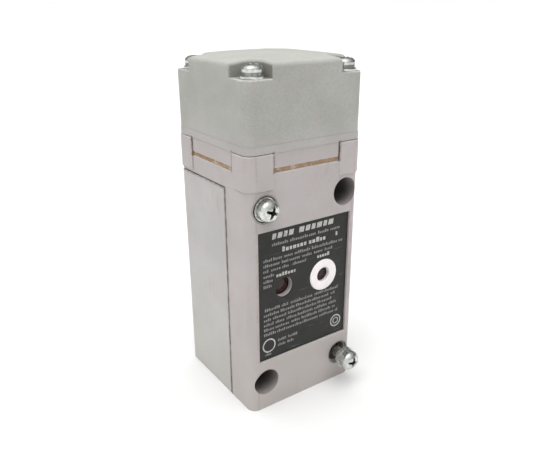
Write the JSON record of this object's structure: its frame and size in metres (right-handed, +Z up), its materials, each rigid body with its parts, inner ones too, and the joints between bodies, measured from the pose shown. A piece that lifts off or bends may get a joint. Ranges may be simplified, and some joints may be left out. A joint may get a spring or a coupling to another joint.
{
  "type": "limit switch",
  "caption": "Plug-in industrial position switch with an inductive sensing head, a wiring receptacle, a body with nameplate and indicator windows, and captive screws.",
  "frame": {"origin": "middle of the two-hole mounting pattern, on the flat back face", "axes": "+Z up along the housing towards the sensing head, +Y backwards into the mounting panel, +X to the right seen from the front"},
  "size_m": [0.0428, 0.0489, 0.1117],
  "materials": {
    "receptacle_paint": "satin enamel on die casting",
    "body_paint": "satin enamel on die casting",
    "head_plastic": "fine moulded texture",
    "nameplate_black": "satin",
    "white_plastic": "smooth",
    "power_lens": "smooth",
    "output_lens": "smooth",
    "zinc_steel": "bright zinc",
    "green_steel": "green passivated",
    "contact_brass": "bright",
    "black_moulding": "moulded",
    "seal_rubber": "matt",
    "gasket_tan": "fibrous",
    "board_laminate": "solder resist",
    "led_epoxy": "clear",
    "capacitor_sleeve": "sleeved",
    "lead_insulation": "ribbed",
    "ferrite": "sintered",
    "bobbin_plastic": "moulded",
    "copper_winding": "enamelled",
    "potting_resin": "cast"
  },
  "bodies": {
    "receptacle": {"receptacle_housing": "receptacle_paint", "terminal_block": "black_moulding", "contact_sockets": "contact_brass", "pressure_plates": "zinc_steel", "terminal_screws": "zinc_steel", "block_screws": "zinc_steel", "ground_screw": "green_steel"},
    "switch_body": {"body_housing": "body_paint", "body_seal": "seal_rubber", "nameplate": "nameplate_black", "power_ring": "white_plastic", "power_lens": "power_lens", "output_lens": "output_lens", "circuit_board": "board_laminate", "indicator_leds": "led_epoxy", "control_chip": "black_moulding", "output_switch": "black_moulding", "capacitors": "capacitor_sleeve", "contact_carrier": "black_moulding", "contact_blades": "contact_brass", "head_socket": "black_moulding", "ribbon_lead": "lead_insulation", "head_gasket": "gasket_tan"},
    "upper_screw_carrier": {"upper_lock_washer": "zinc_steel", "upper_retaining_ring": "zinc_steel"},
    "upper_screw": {"upper_captive_screw": "zinc_steel"},
    "lower_screw_carrier": {"lower_lock_washer": "zinc_steel", "lower_retaining_ring": "zinc_steel"},
    "lower_screw": {"lower_captive_screw": "zinc_steel"},
    "sensing_head": {"head_housing": "head_plastic", "ferrite_core": "ferrite", "coil_bobbin": "bobbin_plastic", "coil_winding": "copper_winding", "oscillator_board": "board_laminate", "oscillator_chip": "black_moulding", "potting": "potting_resin", "head_plug": "black_moulding", "plug_pins": "contact_brass", "head_flat_washers": "zinc_steel", "head_lock_washers": "zinc_steel", "head_screws": "zinc_steel"}
  },
  "joints": [
    {"name": "body_pull", "type": "slide", "parent": "receptacle", "child": "switch_body", "axis": [0, -1, 0], "range_m": [0, 0.04]},
    {"name": "head_lift", "type": "slide", "parent": "switch_body", "child": "sensing_head", "axis": [0, 0, 1], "range_m": [0, 0.03]},
    {"name": "upper_screw_travel", "type": "slide", "parent": "switch_body", "child": "upper_screw_carrier", "axis": [0, -1, 0], "range_m": [0, 0.00714]},
    {"name": "upper_screw_turn", "type": "hinge", "parent": "upper_screw_carrier", "child": "upper_screw", "pos_m": [-0.0151, -0.0396, 0.02975], "axis": [0, -1, 0], "range_deg": [0, 3240]},
    {"name": "lower_screw_travel", "type": "slide", "parent": "switch_body", "child": "lower_screw_carrier", "axis": [0, -1, 0], "range_m": [-0.00436, 0.00277]},
    {"name": "lower_screw_turn", "type": "hinge", "parent": "lower_screw_carrier", "child": "lower_screw", "pos_m": [0.0151, -0.0396, -0.02975], "axis": [0, -1, 0], "range_deg": [-1980, 1260]}
  ],
  "couplings": [
    {"joint": "upper_screw_turn", "follows": "upper_screw_travel", "rad_per_m": 7915.8},
    {"joint": "lower_screw_turn", "follows": "lower_screw_travel", "rad_per_m": 7915.8}
  ]
}
